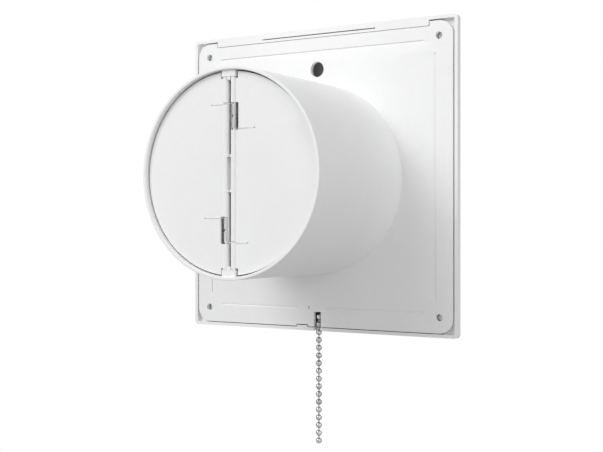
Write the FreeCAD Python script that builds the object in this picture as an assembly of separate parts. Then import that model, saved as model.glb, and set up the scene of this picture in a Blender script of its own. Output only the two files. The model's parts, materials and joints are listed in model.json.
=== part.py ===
"""Wall ventilation fan for a 100 mm duct, seen from the duct side as +Y.

The origin is where the spigot axis meets the wall face of the base plate.
+Z is up, +Y runs along the spigot into the duct, and the room is at -Y.
All sizes are in millimetres.
"""

import math
import os

import FreeCAD
import Part

# Front frame: the square cover that the room sees, sized by what it goes round
frame_corner_radius = 2.0
frame_wall = 1.7
frame_edge_depth = 3.5
frame_depth = 14.5
frame_post_side = 9.0
ledge_end_gap = 13.0
ledge_depth = 2.2
ledge_slot_half_length = 34.5
ledge_slot_height = 0.6
ledge_slot_rise = 1.3

# Base plate and its marks
plate_gap = 0.8
plate_thickness = 2.5
plate_corner_radius = 7.5
plate_top_step = 2.4
screw_inset = 7.5
screw_hole_radius = 1.8
cable_hole_radius = 4.0
cable_hole_inset = 6.1
groove_width = 1.1
groove_depth = 0.5
groove_inset = 9.7
groove_end_gap = 6.2
groove_break_left = 12.2
groove_break_right = 3.8
notch_left = 12.8
notch_right = 5.6
notch_height = 0.7
peep_slot_width = 1.0
peep_slot_height = 2.0
rib_thickness = 1.6
rib_gap = 11.5
rib_front_gap = 2.5
rib_gate_gap = 0.5

# Spigot and the collar that guides air into it
spigot_radius = 49.75
spigot_length = 82.75
spigot_wall = 1.5
rim_chamfer = 0.4
collar_wall = 2.0
collar_front_gap = 0.5

# Shutter leaves, their hinge pins and the blocks that hold the pins
leaf_gap = 0.75
leaf_recess = 2.3
leaf_thickness = 1.2
slit_half_width = 0.6
barrel_radius = 1.7
barrel_rise = 0.85
pin_radius = 0.8
running_clearance = 0.05
block_half_width = 3.9
block_recess = 1.8
block_depth = 5.0
block_reach = 3.3
block_clearance = 0.5
block_side_clearance = 0.9
pin_seat_depth = 2.8
leaf_rib_height = 1.4
leaf_rib_thickness = 1.2
leaf_rib_spacing = 30.0
leaf_rib_end_gap = 9.5
stop_gap = 0.3
stop_length = 1.5
stop_reach = 1.6
stop_width = 6.0

# Torsion springs that close the leaves
flap_wire_radius = 0.3
flap_coil_radius = 1.55
flap_coil_turns = 5
flap_coil_low = 32.3
flap_coil_high = 20.8
window_end_gap = 0.3
window_side_gap = 0.25
window_leaf_gap = 0.9
near_leg_reach = 11.7
far_leg_reach = 12.5
leg_bend_radius = 0.7
leg_hole_half = 0.5
leg_tail = 0.5
leg_groove_half_width = 0.7
wire_sides = 4

# Motor, from the rear boss forward
cup_radius = 27.0
cup_wall = 1.5
boss_leaf_gap = 0.85
cup_length = 30.0
boss_radius = 8.7
boss_bore_radius = 7.5
boss_length = 7.0
bearing_length = 5.0
bearing_inset = 1.0
shaft_radius = 2.0
push_clearance = 0.02
strut_count = 4
strut_thickness = 2.0
strut_length = 14.0
strut_rear_gap = 8.0
ring_wall = 1.2
ring_length = 10.0
ring_clearance = 0.05
cap_flange = 1.5
cap_plug_length = 2.0
cap_boss_length = 2.5
post_radius = 2.2
post_wall_gap = 0.5
motor_screw_count = 3
motor_screw_radius = 1.0
motor_screw_head_radius = 2.1
motor_screw_head_height = 1.6
motor_screw_length = 10.0
motor_pilot_spare = 0.5
stator_length = 12.0
stator_post_gap = 0.2
stator_slot_count = 4
stator_slot_width = 2.4
stator_slot_depth = 3.4
air_gap = 0.4
stator_web = 7.0
winding_gap = 0.3
winding_length = 3.4
winding_width = 13.0

# Impeller
blade_count = 6
hub_radius = 20.0
hub_wall = 1.6
hub_cap_gap = 2.0
shaft_tip = 1.0
hub_length = 28.0
hub_nose_radius = 6.0
hub_nose_steps = 3
hub_boss_radius = 4.5
hub_boss_setback = 2.0
blade_tip_gap = 1.35
blade_root_chord = 27.0
blade_tip_chord = 32.0
blade_root_angle = 48.0
blade_tip_angle = 27.0
blade_thickness = 1.8
blade_camber = 2.6
blade_steps = 4
blade_spans = 3
clip_radius = 5.0
clip_thickness = 0.8
washer_radius = 4.0
washer_thickness = 0.8
washer_gap = 0.2

# Inlet grille
grille_collar_gap = 0.25
grille_clearance = 0.1
grille_flange = 1.6
grille_flange_thickness = 1.2
grille_setback = 0.5
grille_bar = 1.6
grille_pitch = 7.6
grille_post_spacing = 36.0

# Terminal block and cable clamp
terminal_left = 14.0
terminal_width = 24.0
terminal_collar_gap = 2.25
wiring_rib_gap = 0.4
head_edge_gap = 0.4
terminal_front_gap = 1.5
terminal_ways = 3
terminal_entry_half = 1.5
terminal_screw_radius = 1.6
terminal_screw_depth = 3.0
terminal_screw_sink = 0.5
terminal_groove_half = 0.5
small_screw_radius = 1.0
small_screw_clearance = 0.15
small_head_radius = 1.8
small_head_height = 1.2
small_screw_bite = 1.6
pilot_spare = 0.2
screw_sides = 8
clamp_left = 6.5
clamp_width = 5.0
clamp_collar_gap = 1.55
clamp_depth = 5.5
clamp_bridge = 2.0
clamp_foot = 2.8

# Pull switch
switch_half_width = 11.0
switch_height = 11.8
switch_front_gap = 0.8
switch_wall_gap = 0.6
switch_rib_gap = 1.75
switch_screw_offset = 8.3
switch_rear_wall = 0.5
switch_front_wall = 1.6
plunger_clearance = 0.1
plunger_collar_gap = 0.2
plunger_collar_height = 1.4
plunger_tail = 0.4
chamber_floor = 2.0
switch_cap_height = 1.2
switch_cap_gap = 0.3
switch_wire_radius = 0.25
spring_wall_gap = 0.35
spring_stem_gap = 0.35
switch_coil_turns = 3
spring_seat_gap = 0.05

# Bead chain
bead_radius = 1.6
bead_pitch = 4.1
bead_hole_radius = 0.5
link_radius = 0.45
chain_sides = 8
bead_bands = 4
hanging_beads = 14
chain_swing_gap = 0.15
chain_slot_half_width = 1.9
chain_slot_depth = 4.2
chain_slot_top = 7.5
chain_depth = 1.98
chain_lean_shares = (0.43, 0.45, 0.12)
coupling_seat_gap = 0.05
coupling_wall = 0.6
coupling_clearance = 0.25

# Levels worked out from the sizes above
spigot_bore = spigot_radius - spigot_wall
collar_radius = spigot_bore + collar_wall
rib_inner_half = collar_radius + switch_wall_gap + switch_height + switch_rib_gap
rib_half = rib_inner_half + rib_thickness
plate_half = rib_half + rib_gap
plate_front = -plate_thickness
frame_inner_half = plate_half + plate_gap
frame_half = frame_inner_half + frame_wall
frame_inner_front = frame_depth - frame_wall
shoulder_sum = frame_half + frame_edge_depth
shoulder_inner_sum = shoulder_sum - frame_wall * math.sqrt(2)
ledge_half_length = plate_half - ledge_end_gap
screw_offset = plate_half - screw_inset
cable_hole_height = rib_inner_half - cable_hole_inset
groove_offset = plate_half - groove_inset
groove_half_length = groove_offset - groove_end_gap
collar_front = -(frame_inner_front - collar_front_gap)
tray_depth = frame_inner_front - plate_thickness
rib_depth = tray_depth - rib_front_gap
grille_radius = spigot_bore - grille_flange - grille_collar_gap
leaf_radius = spigot_bore - leaf_gap
leaf_rear = spigot_length - leaf_recess
leaf_front = leaf_rear - leaf_thickness
barrel_x = slit_half_width + barrel_radius
pin_y = leaf_rear + barrel_rise - barrel_radius
block_rear = spigot_length - block_recess
block_front = block_rear - block_depth
block_inner = spigot_bore - block_reach
barrel_half_length = block_inner - block_clearance
pin_half_length = block_inner + pin_seat_depth
boss_rear = leaf_front - leaf_rib_height - boss_leaf_gap
cup_rear = boss_rear - boss_length
cup_front = cup_rear - cup_length
cup_bore = cup_radius - cup_wall
strut_rear = cup_rear - strut_rear_gap
strut_front = strut_rear - strut_length
ring_radius = spigot_bore - ring_clearance
ring_front = (strut_front + strut_rear - ring_length) / 2
ring_rear = ring_front + ring_length
cap_front = cup_front - cap_flange
cap_boss_front = cap_front - cap_boss_length
cap_rear = cup_front + cap_plug_length
bearing_radius = boss_bore_radius - push_clearance
front_bearing_front = cap_boss_front + bearing_inset
rear_bearing_front = boss_rear - bearing_inset - bearing_length
post_circle = cup_bore - post_wall_gap - post_radius
stator_radius = post_circle - post_radius - stator_post_gap
stator_bore = stator_radius - stator_web
rotor_radius = stator_bore - air_gap
stator_front = (cup_front + cup_rear) / 2 - stator_length / 2
stator_rear = stator_front + stator_length
hub_rear = cap_boss_front - hub_cap_gap
hub_front = hub_rear - hub_length
hub_boss_rear = hub_rear - hub_boss_setback
blade_tip_radius = spigot_bore - blade_tip_gap
blade_centre = (hub_front + hub_rear) / 2
shaft_front = hub_front - clip_thickness - shaft_tip
shaft_rear = rear_bearing_front + bearing_length
terminal_bottom = collar_radius + terminal_collar_gap
terminal_height = rib_inner_half - wiring_rib_gap - terminal_bottom
terminal_depth = tray_depth - terminal_front_gap
terminal_pitch = terminal_width / terminal_ways
clamp_bottom = collar_radius + clamp_collar_gap
clamp_height = rib_inner_half - wiring_rib_gap - clamp_bottom
switch_top = -(collar_radius + switch_wall_gap)
switch_bottom = switch_top - switch_height
switch_depth = tray_depth - small_head_height - switch_front_gap
chamber_radius = (switch_depth - switch_rear_wall - switch_front_wall) / 2
plunger_y = plate_front - switch_rear_wall - chamber_radius
plunger_collar_radius = chamber_radius - plunger_collar_gap
switch_coil_radius = chamber_radius - spring_wall_gap - switch_wire_radius
plunger_radius = switch_coil_radius - switch_wire_radius - spring_stem_gap
collar_top = switch_top - switch_cap_height - switch_cap_gap
collar_bottom = collar_top - plunger_collar_height
chamber_bottom = switch_bottom + chamber_floor
plunger_bottom = switch_bottom - plunger_tail
coupling_drop = coupling_wall + bead_radius + coupling_seat_gap


def vec(x, y, z):
    return FreeCAD.Vector(x, y, z)


def box(x0, x1, y0, y1, z0, z1):
    return Part.makeBox(x1 - x0, y1 - y0, z1 - z0, vec(x0, y0, z0))


def rod_y(radius, y0, y1, x=0.0, z=0.0):
    return Part.makeCylinder(radius, y1 - y0, vec(x, y0, z), vec(0, 1, 0))


def rod_z(radius, z0, z1, x=0.0, y=0.0):
    return Part.makeCylinder(radius, z1 - z0, vec(x, y, z0))


def tube_y(outer, inner, y0, y1, x=0.0, z=0.0):
    return rod_y(outer, y0, y1, x, z).cut(rod_y(inner, y0, y1, x, z))


def turned(shape, degrees):
    """A copy of the shape turned about the spigot axis."""
    copy = shape.copy()
    copy.rotate(vec(0, 0, 0), vec(0, 1, 0), degrees)
    return copy


def around(shape, count, first=0.0):
    """Copies of the shape evenly spaced about the spigot axis."""
    return [turned(shape, first + 360.0 * i / count) for i in range(count)]


def square_slab(half, radius, y0, y1):
    """A square slab with rounded corners."""
    slab = box(-half, half, y0, y1, -half, half)
    corners = [edge for edge in slab.Edges if abs(edge.tangentAt(0).y) > 0.5]
    return slab.makeFillet(radius, corners)


def shoulder(total, y_front):
    """A square pyramid with its sides at 45 degrees, half its side and its depth adding to one total."""
    narrow = total + y_front
    corners = [(-total, 0), (total, 0), (narrow, y_front), (-narrow, y_front)]
    outline = [vec(x, y, -total) for x, y in corners]
    roof = Part.Face(Part.makePolygon(outline + outline[:1])).extrude(vec(0, 0, 2 * total))
    return roof.common(turned(roof, 90))


def revolved(points):
    """A solid of revolution about the spigot axis from (radius, y) corners."""
    outline = Part.makePolygon([vec(r, y, 0) for r, y in points + points[:1]])
    return Part.Face(outline).revolve(vec(0, 0, 0), vec(0, 1, 0), 360)


def faceted(rings):
    """A closed solid with flat three-cornered sides through rings of corners."""
    count = len(rings[0])
    outlines = [rings[0], rings[-1]]
    for low, high in zip(rings, rings[1:]):
        for i in range(count):
            j = (i + 1) % count
            outlines += [[low[i], low[j], high[j]], [low[i], high[j], high[i]]]
    faces = [Part.Face(Part.makePolygon(outline + outline[:1])) for outline in outlines]
    return Part.Solid(Part.Shell(faces))


def prism_y(sides, radius, y0, y1, x, z):
    """An even-sided bar along Y whose corners lie on the radius."""
    angles = [2 * math.pi * (i + 0.5) / sides for i in range(sides + 1)]
    corners = [vec(x + radius * math.cos(a), y0, z + radius * math.sin(a)) for a in angles[:-1]]
    return Part.Face(Part.makePolygon(corners + corners[:1])).extrude(vec(0, y1 - y0, 0))


def screw_y(shank_radius, head_radius, head_height, y_seat, y_tip, x, z):
    """A slotted screw driven towards +Y, its head on the seat."""
    head = prism_y(screw_sides, head_radius, y_seat - head_height, y_seat, x, z)
    slot = box(x - head_radius, x + head_radius, y_seat - head_height, y_seat - head_height / 2,
               z - head_radius / 6, z + head_radius / 6)
    return head.cut(slot).fuse(prism_y(screw_sides, shank_radius, y_seat, y_tip, x, z))


def small_screw(y_seat, x, z):
    tip = plate_front + small_screw_bite
    return screw_y(small_screw_radius, small_head_radius, small_head_height, y_seat, tip, x, z)


def small_screw_pilot(x, z):
    """The blind hole in the plate that a small screw bites into."""
    tip = plate_front + small_screw_bite + pilot_spare
    return prism_y(screw_sides, small_screw_radius + push_clearance, plate_front, tip, x, z)


def small_screw_hole(y0, x, z):
    """The clear hole that a small screw passes through on its way to the plate."""
    return prism_y(screw_sides, small_screw_radius + small_screw_clearance, y0, plate_front, x, z)


def terminal_screw_place():
    return terminal_left + terminal_width / 2, terminal_bottom + small_head_radius + head_edge_gap


def clamp_screw_places():
    x = clamp_left + clamp_width / 2
    low = clamp_bottom + clamp_foot / 2
    return [(x, low), (x, low + clamp_height - clamp_foot)]


def switch_screw_places():
    z = (switch_top + switch_bottom) / 2
    return [(-switch_screw_offset, z), (switch_screw_offset, z)]


def make_spigot():
    tip = spigot_length - rim_chamfer
    return revolved([
        (spigot_bore, collar_front),
        (collar_radius, collar_front),
        (collar_radius, plate_front / 2),
        (spigot_radius, plate_front / 2),
        (spigot_radius, tip),
        (spigot_radius - rim_chamfer, spigot_length),
        (spigot_bore + rim_chamfer, spigot_length),
        (spigot_bore, tip),
    ])


def make_plate():
    plate = square_slab(plate_half, plate_corner_radius, plate_front, 0)
    plate = plate.cut(rod_y(spigot_radius - spigot_wall / 2, plate_front, 0))
    lobe = ledge_half_length + plate_gap / 2
    cuts = [box(-lobe, lobe, plate_front, 0, plate_half - plate_top_step, plate_half)]
    corners = (-screw_offset, screw_offset)
    cuts += [rod_y(screw_hole_radius, plate_front, 0, x, z) for x in corners for z in corners]
    cuts.append(rod_y(cable_hole_radius, plate_front, 0, 0, cable_hole_height))
    cuts.append(box(-chain_slot_half_width, chain_slot_half_width, plate_front, 0,
                    -plate_half, -plate_half + chain_slot_top))
    cuts.append(box(notch_right, notch_left, plate_front, 0, -plate_half, -plate_half + notch_height))
    peep_x = notch_right - peep_slot_width
    cuts.append(box(peep_x, notch_right, plate_front, 0,
                    -groove_offset - peep_slot_height / 2, -groove_offset + peep_slot_height / 2))
    return plate.cut(cuts)


def make_grooves():
    """The shallow moulded lines that frame the wall side of the plate."""
    near, far = groove_offset - groove_width / 2, groove_offset + groove_width / 2
    end = groove_half_length
    return [
        box(-end, end, -groove_depth, 0, near, far),
        box(near, far, -groove_depth, 0, -end, end),
        box(-far, -near, -groove_depth, 0, -end, end),
        box(groove_break_left, end, -groove_depth, 0, -far, -near),
        box(-end, -groove_break_right, -groove_depth, 0, -far, -near),
    ]


def make_rib():
    """The wall round the wiring space on the room side of the plate."""
    top = plate_front - rib_depth
    rib = square_slab(rib_half, plate_corner_radius, top, plate_front)
    rib = rib.cut(square_slab(rib_inner_half, plate_corner_radius - rib_thickness, top, plate_front))
    gate = bead_radius + coupling_wall + 2 * coupling_clearance + rib_gate_gap
    return rib.cut(box(-gate, gate, top, plate_front, -rib_half, -rib_inner_half))


def make_pivot_block(side):
    """One of the two blocks inside the rim that hold the ends of the hinge pins."""
    low, high = sorted((side * block_inner, side * spigot_radius))
    block = box(-block_half_width, block_half_width, block_front, block_rear, low, high)
    block = block.common(rod_y(spigot_radius - spigot_wall / 2, block_front, block_rear))
    low, high = sorted((side * block_inner, side * pin_half_length))
    return block.cut([rod_z(pin_radius + push_clearance, low, high, x, pin_y) for x in (-barrel_x, barrel_x)])


def make_inner_lugs(y0, y1, reach, first):
    """Four small lugs on the bore of the spigot."""
    lug = box(-stop_width / 2, stop_width / 2, y0, y1, spigot_bore - reach, spigot_radius)
    return around(lug.common(rod_y(spigot_radius - spigot_wall / 2, y0, y1)), 4, first)


def make_fan_housing():
    leaf_stops = make_inner_lugs(leaf_front - stop_gap - stop_length, leaf_front - stop_gap, stop_reach, 45)
    ring_stops = make_inner_lugs(ring_rear, ring_rear + stop_length, ring_wall, 0)
    blocks = [make_pivot_block(1), make_pivot_block(-1)]
    housing = make_plate().fuse([make_spigot(), make_rib()] + blocks + leaf_stops + ring_stops)
    places = [terminal_screw_place()] + clamp_screw_places() + switch_screw_places()
    return housing.cut(make_grooves() + [small_screw_pilot(x, z) for x, z in places])


def make_corner_post():
    """The three-cornered post in a corner of the frame that a corner of the plate rests on."""
    outer = frame_inner_half + frame_wall / 2
    near = outer - frame_post_side
    corners = [vec(outer, -frame_inner_front - frame_wall / 2, outer)]
    corners += [vec(near, corners[0].y, outer), vec(outer, corners[0].y, near)]
    foot = Part.Face(Part.makePolygon(corners + corners[:1]))
    post = foot.extrude(vec(0, plate_front - corners[0].y, 0))
    return post.common(shoulder(shoulder_sum - frame_wall / 2, -frame_depth))


def make_front_frame():
    outer = square_slab(frame_half, frame_corner_radius, -frame_depth, 0)
    outer = outer.common(shoulder(shoulder_sum, -frame_depth))
    reach = frame_inner_half
    inner = box(-reach, reach, -frame_inner_front, 0, -reach, reach)
    inner = inner.common(shoulder(shoulder_inner_sum, -frame_inner_front))
    shell = outer.cut(inner).cut(rod_y(grille_radius + grille_clearance, -frame_depth, -frame_inner_front))
    low = plate_half - plate_top_step + plate_gap / 3
    ledge_end = ledge_half_length
    ledge = box(-ledge_end, ledge_end, -ledge_depth, 0, low, frame_half - frame_wall / 2)
    slot_low = low + ledge_slot_rise
    slot_end = ledge_slot_half_length
    slot = box(-slot_end, slot_end, -ledge_depth, 0, slot_low, slot_low + ledge_slot_height)
    chain_slot = box(-chain_slot_half_width, chain_slot_half_width, -chain_slot_depth, 0,
                     -frame_half, -frame_half + 2 * chain_slot_depth)
    return shell.fuse([ledge.cut(slot)] + around(make_corner_post(), 4)).cut(chain_slot)


def make_inlet_grille():
    """A flanged ring with level slats across it, held in the frame's round opening from behind."""
    front = -(frame_depth - grille_setback)
    seat = -frame_inner_front
    rear = seat + grille_flange_thickness
    half = grille_bar / 2
    hold = grille_radius - half
    ring = tube_y(grille_radius, grille_radius - grille_bar, -frame_depth, rear)
    flange = tube_y(grille_radius + grille_flange, hold, seat, rear)

    def reach(offset):
        return math.sqrt(hold ** 2 - (abs(offset) + half) ** 2)

    slats = [box(x - half, x + half, front, rear, -reach(x), reach(x))
             for x in (-grille_post_spacing / 2, grille_post_spacing / 2)]
    rows = int((grille_radius - 2 * grille_bar) / grille_pitch)
    for row in range(-rows, rows + 1):
        z = row * grille_pitch
        slats.append(box(-reach(z), reach(z), front, rear, z - half, z + half))
    return ring.fuse([flange] + slats)


def make_leaf(spring_hole_places):
    """The leaf on the +X side; the other leaf is this one turned half round."""
    leaf = rod_y(leaf_radius, leaf_front, leaf_rear)
    leaf = leaf.common(box(barrel_x, leaf_radius, leaf_front, leaf_rear, -leaf_radius, leaf_radius))
    barrel = rod_z(barrel_radius, -barrel_half_length, barrel_half_length, barrel_x, pin_y)
    ribs = [
        box(barrel_x, leaf_radius - leaf_rib_end_gap, leaf_front - leaf_rib_height, leaf_front,
            z - leaf_rib_thickness / 2, z + leaf_rib_thickness / 2)
        for z in (-leaf_rib_spacing / 2, leaf_rib_spacing / 2)
    ]
    leaf = leaf.fuse([barrel] + ribs)
    clear = block_half_width + block_side_clearance
    cuts = [box(0, clear, leaf_front, leaf_rear, z, z + spigot_radius)
            for z in (barrel_half_length, -barrel_half_length - spigot_radius)]
    end = barrel_half_length
    cuts.append(rod_z(pin_radius + running_clearance, -end, end, barrel_x, pin_y))
    reach = flap_coil_radius + flap_wire_radius + window_side_gap
    end_gap = flap_wire_radius + window_end_gap
    leaf_side = barrel_x + reach - window_side_gap + window_leaf_gap
    cuts.append(box(0, leaf_side, pin_y - reach, pin_y + reach,
                    -flap_coil_low - end_gap, -flap_coil_high + end_gap))
    cuts.append(box(0, 2 * barrel_x, pin_y + flap_coil_radius - 2 * flap_wire_radius, pin_y + reach,
                    flap_coil_low - leg_groove_half_width, flap_coil_low + leg_groove_half_width))
    half = leg_hole_half
    cuts += [box(x - half, x + half, leaf_front, leaf_rear, z - half, z + half)
             for x, z in spring_hole_places]
    return leaf.cut(cuts)


def arc_edge(start, corner, end):
    """The arc that touches both sides of a corner at equal distances."""
    middle = (start + end) * 0.5
    half_chord = (end - start).Length / 2
    height = (corner - middle).Length
    if height < 1e-7:
        return Part.LineSegment(start, end).toShape()
    sag = half_chord * math.tan(math.atan2(height, half_chord) / 2)
    return Part.Arc(start, middle + (corner - middle) * (sag / height), end).toShape()


def biarc(p0, t0, p1, t1):
    """Two arcs that leave p0 along t0 and reach p1 along t1."""
    chord, both = p1 - p0, t0 + t1
    a = 2 * (1 - t0.dot(t1))
    b = chord.dot(both)
    reach = (-b + math.sqrt(b * b + a * chord.dot(chord))) / a
    corner0, corner1 = p0 + t0 * reach, p1 - t1 * reach
    joint = (corner0 + corner1) * 0.5
    return [arc_edge(p0, corner0, joint), arc_edge(joint, corner1, p1)]


def helix_edges(radius, z0, z1, turns, hand, start_angle, x, y):
    """Half-turn biarcs along a helix about a Z axis at x, y, level at both ends."""
    steps = round(2 * turns)
    climb = (z1 - z0) / (math.pi * steps)

    def point(i):
        angle = start_angle + hand * math.pi * i
        return vec(x + radius * math.cos(angle), y + radius * math.sin(angle), z0 + (z1 - z0) * i / steps)

    def along(i):
        angle = start_angle + hand * math.pi * i
        rise = 0.0 if i in (0, steps) else climb
        return vec(-hand * radius * math.sin(angle), hand * radius * math.cos(angle), rise).normalize()

    edges = []
    for i in range(steps):
        edges += biarc(point(i), along(i), point(i + 1), along(i + 1))
    return edges


def wire_tube(edges, radius):
    """A wire of round-edged section swept along a smooth path."""
    path = Part.Wire(edges)
    start = edges[0].valueAt(edges[0].FirstParameter)
    heading = edges[0].tangentAt(edges[0].FirstParameter)
    side = heading.cross(vec(0.31, 0.17, 0.93)).normalize()
    lift = heading.cross(side).normalize()
    corners = []
    for i in range(wire_sides + 1):
        angle = 2 * math.pi * i / wire_sides
        corners.append(start + side * (radius * math.cos(angle)) + lift * (radius * math.sin(angle)))
    corners[-1] = corners[0]
    return path.makePipeShell([Part.makePolygon(corners)], True, False)


def least_self_gap(edges, radius, skip):
    """The least clear space between parts of a wire further apart than skip along it."""
    places, run = [], 0.0
    for edge in edges:
        points = edge.discretize(12)
        for a, b in zip(points, points[1:]):
            places.append((run, a))
            run += (b - a).Length
    gaps = [(a - b).Length for i, (s, a) in enumerate(places) for t, b in places[i + 1:] if t - s > skip]
    return min(gaps) - 2 * radius


def leg_points(root, heading, reach):
    """The corners of a leg that runs straight and bends down into the leaf."""
    down = vec(0, -1, 0)
    knee = root + heading * (reach - leg_bend_radius)
    corner = root + heading * reach
    ankle = corner + down * leg_bend_radius
    foot = ankle + down * (root.y - leaf_rear - leg_bend_radius + leg_tail)
    return knee, corner, ankle, foot


def make_flap_spring():
    """The spring on the +X pin, with one leg on each leaf; the other is this one turned half round."""
    rear_side = math.pi / 2
    coil = helix_edges(flap_coil_radius, -flap_coil_low, -flap_coil_high, flap_coil_turns, -1,
                       rear_side, barrel_x, pin_y)
    low = vec(barrel_x, pin_y + flap_coil_radius, -flap_coil_low)
    high = vec(barrel_x, pin_y + flap_coil_radius, -flap_coil_high)
    knee, corner, ankle, foot = leg_points(low, vec(-1, 0, 0), far_leg_reach)
    far_leg = [Part.LineSegment(foot, ankle).toShape(), arc_edge(ankle, corner, knee),
               Part.LineSegment(knee, low).toShape()]
    knee, corner, ankle, foot = leg_points(high, vec(1, 0, 0), near_leg_reach)
    near_leg = [Part.LineSegment(high, knee).toShape(), arc_edge(knee, corner, ankle),
                Part.LineSegment(ankle, foot).toShape()]
    print("flap spring self gap", round(least_self_gap(coil, flap_wire_radius, 4 * flap_coil_radius), 3))
    return wire_tube(far_leg + coil + near_leg, flap_wire_radius)


def make_hinge_pin(side):
    return rod_z(pin_radius, -pin_half_length, pin_half_length, side * barrel_x, pin_y)


def post_places():
    return [(post_circle * math.sin(2 * math.pi * i / motor_screw_count),
             post_circle * math.cos(2 * math.pi * i / motor_screw_count)) for i in range(motor_screw_count)]


def make_motor_mount():
    """The motor cup with its rear bearing boss, on struts from a ring inside the spigot."""
    cup = revolved([
        (cup_bore, cup_front),
        (cup_radius, cup_front),
        (cup_radius, cup_rear),
        (boss_radius, cup_rear),
        (boss_radius, boss_rear),
        (boss_bore_radius, boss_rear),
        (boss_bore_radius, cup_rear - cup_wall),
        (cup_bore, cup_rear - cup_wall),
    ])
    strut = box(-strut_thickness / 2, strut_thickness / 2, strut_front, strut_rear,
                cup_radius - cup_wall / 2, ring_radius - ring_wall / 2)
    ring = tube_y(ring_radius, ring_radius - ring_wall, ring_front, ring_rear)
    post_front = cap_rear + push_clearance
    post_end = cup_rear - cup_wall / 2
    posts = [prism_y(screw_sides, post_radius, post_front, post_end, x, z) for x, z in post_places()]
    pilot_end = cap_front + motor_screw_length + motor_pilot_spare
    pilots = [prism_y(screw_sides, motor_screw_radius + push_clearance, post_front, pilot_end, x, z)
              for x, z in post_places()]
    return cup.fuse(around(strut, strut_count, 180.0 / strut_count) + [ring] + posts).cut(pilots)


def make_motor_cap():
    """The plate that closes the cup and carries the front bearing."""
    plug_radius = cup_bore - 2 * running_clearance
    cap = revolved([
        (boss_bore_radius, cap_boss_front),
        (boss_radius, cap_boss_front),
        (boss_radius, cap_front),
        (cup_radius, cap_front),
        (cup_radius, cup_front),
        (plug_radius, cup_front),
        (plug_radius, cap_rear),
        (boss_bore_radius, cap_rear),
    ])
    hole = motor_screw_radius + small_screw_clearance
    return cap.cut([prism_y(screw_sides, hole, cap_front, cap_rear, x, z) for x, z in post_places()])


def make_motor_screws():
    return [screw_y(motor_screw_radius, motor_screw_head_radius, motor_screw_head_height,
                    cap_front, cap_front + motor_screw_length, x, z) for x, z in post_places()]


def make_bearing(y0):
    return tube_y(bearing_radius, shaft_radius + running_clearance, y0, y0 + bearing_length)


def make_stator_core():
    core = tube_y(stator_radius, stator_bore, stator_front, stator_rear)
    slot = box(-stator_slot_width / 2, stator_slot_width / 2, stator_front, stator_rear,
               stator_bore / 2, stator_bore + stator_slot_depth)
    return core.cut(around(slot, stator_slot_count))


def make_stator_windings():
    """The ends of one coil on each pole, at both faces of the core."""
    inner, outer = stator_bore + air_gap, stator_radius - air_gap
    half = winding_width / 2
    coils = []
    for y in (stator_front - winding_gap - winding_length, stator_rear + winding_gap):
        coil = box(-half, half, y, y + winding_length, inner, math.sqrt(outer ** 2 - half ** 2))
        coils += around(coil, stator_slot_count, 180.0 / stator_slot_count)
    return coils


def make_rotor_core():
    return tube_y(rotor_radius, shaft_radius + push_clearance, stator_front, stator_rear)


def make_motor_shaft():
    return rod_y(shaft_radius, shaft_front, shaft_rear)


def make_thrust_washers():
    """One washer runs against each bearing, on the rotor's side."""
    front = front_bearing_front + bearing_length + washer_gap
    rear = rear_bearing_front - washer_gap - washer_thickness
    bore = shaft_radius + push_clearance
    return [tube_y(washer_radius, bore, y, y + washer_thickness) for y in (front, rear)]


def blade_ring(share):
    """The corners of a thin cambered section, square to the radius, from root 0 to tip 1."""
    root, tip = hub_radius - 3 * hub_wall, blade_tip_radius + hub_wall
    radius = root + (tip - root) * share
    chord = blade_root_chord + (blade_tip_chord - blade_root_chord) * share
    slope = math.radians(blade_root_angle + (blade_tip_angle - blade_root_angle) * share)
    steps = [2 * i / blade_steps - 1 for i in range(blade_steps + 1)]

    def place(step, side):
        bow = 1 - step ** 2
        along = step * chord / 2
        off = blade_camber * bow + side * blade_thickness * (1 + bow) / 4
        y = blade_centre + along * math.sin(slope) + off * math.cos(slope)
        x = along * math.cos(slope) - off * math.sin(slope)
        return vec(x, y, radius)

    return [place(step, 1) for step in steps] + [place(step, -1) for step in reversed(steps)]


def make_impeller():
    bore = shaft_radius + push_clearance
    bend_in, bend_end = hub_radius - hub_nose_radius, hub_front + hub_nose_radius
    turns = [math.pi / 2 * i / hub_nose_steps for i in range(hub_nose_steps + 1)]
    nose = [(bend_in + hub_nose_radius * math.sin(a), bend_end - hub_nose_radius * math.cos(a))
            for a in turns]
    face_in = hub_front + hub_wall
    wall_in = hub_radius - hub_wall
    hub = revolved(nose + [
        (hub_radius, hub_rear), (wall_in, hub_rear), (wall_in, bend_end), (bend_in, face_in),
        (hub_boss_radius, face_in), (hub_boss_radius, hub_boss_rear), (bore, hub_boss_rear),
        (bore, hub_front),
    ])
    blade = faceted([blade_ring(i / blade_spans) for i in range(blade_spans + 1)])
    sweep = tube_y(blade_tip_radius, hub_radius - hub_wall / 2, hub_front, hub_rear)
    return hub.fuse(around(blade.common(sweep), blade_count))


def make_impeller_clip():
    return tube_y(clip_radius, shaft_radius + push_clearance, hub_front - clip_thickness, hub_front)


def terminal_screw_places():
    z = terminal_bottom + terminal_height * 2 / 3
    return [(terminal_left + terminal_pitch * (i + 0.5), z) for i in range(terminal_ways)]


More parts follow.
